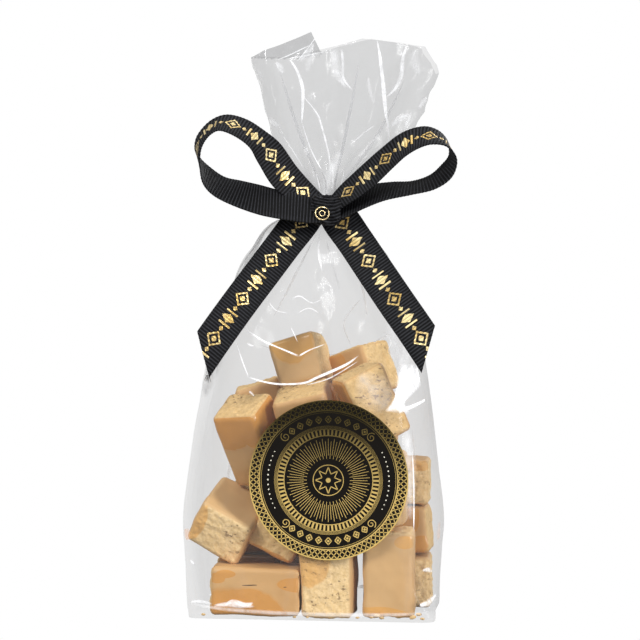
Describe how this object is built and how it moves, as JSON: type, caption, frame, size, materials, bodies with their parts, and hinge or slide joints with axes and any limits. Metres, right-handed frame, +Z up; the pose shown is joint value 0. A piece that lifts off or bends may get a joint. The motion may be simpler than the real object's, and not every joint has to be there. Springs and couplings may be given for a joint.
{
  "type": "bag of vanilla fudge",
  "caption": "Upright clear film bag filled with fudge blocks, its gathered neck tied in a black ribbon bow, with a round foil seal on the front.",
  "frame": {"origin": "middle of the flat base that the bag stands on", "axes": "+Z up through the neck, -Y out of the front face that carries the seal, +X to the right of it"},
  "size_m": [0.091, 0.0528, 0.1948],
  "materials": {
    "film": "clear, glossy, lightly creased film",
    "fudge": "tan vanilla fudge, smooth on set faces and crumbly on cut ones",
    "ribbon": "black ribbed ribbon with a finer woven edge",
    "foil": "bright gold foil print",
    "seal": "satin black round label"
  },
  "bodies": {
    "root": {"bag": "film", "ribbon_wrap": "ribbon", "ribbon_knot": "ribbon", "ribbon_loop_left": "ribbon", "ribbon_loop_right": "ribbon", "ribbon_tail_left": "ribbon", "ribbon_tail_right": "ribbon", "foil_seal": "seal"}
  },
  "joints": []
}
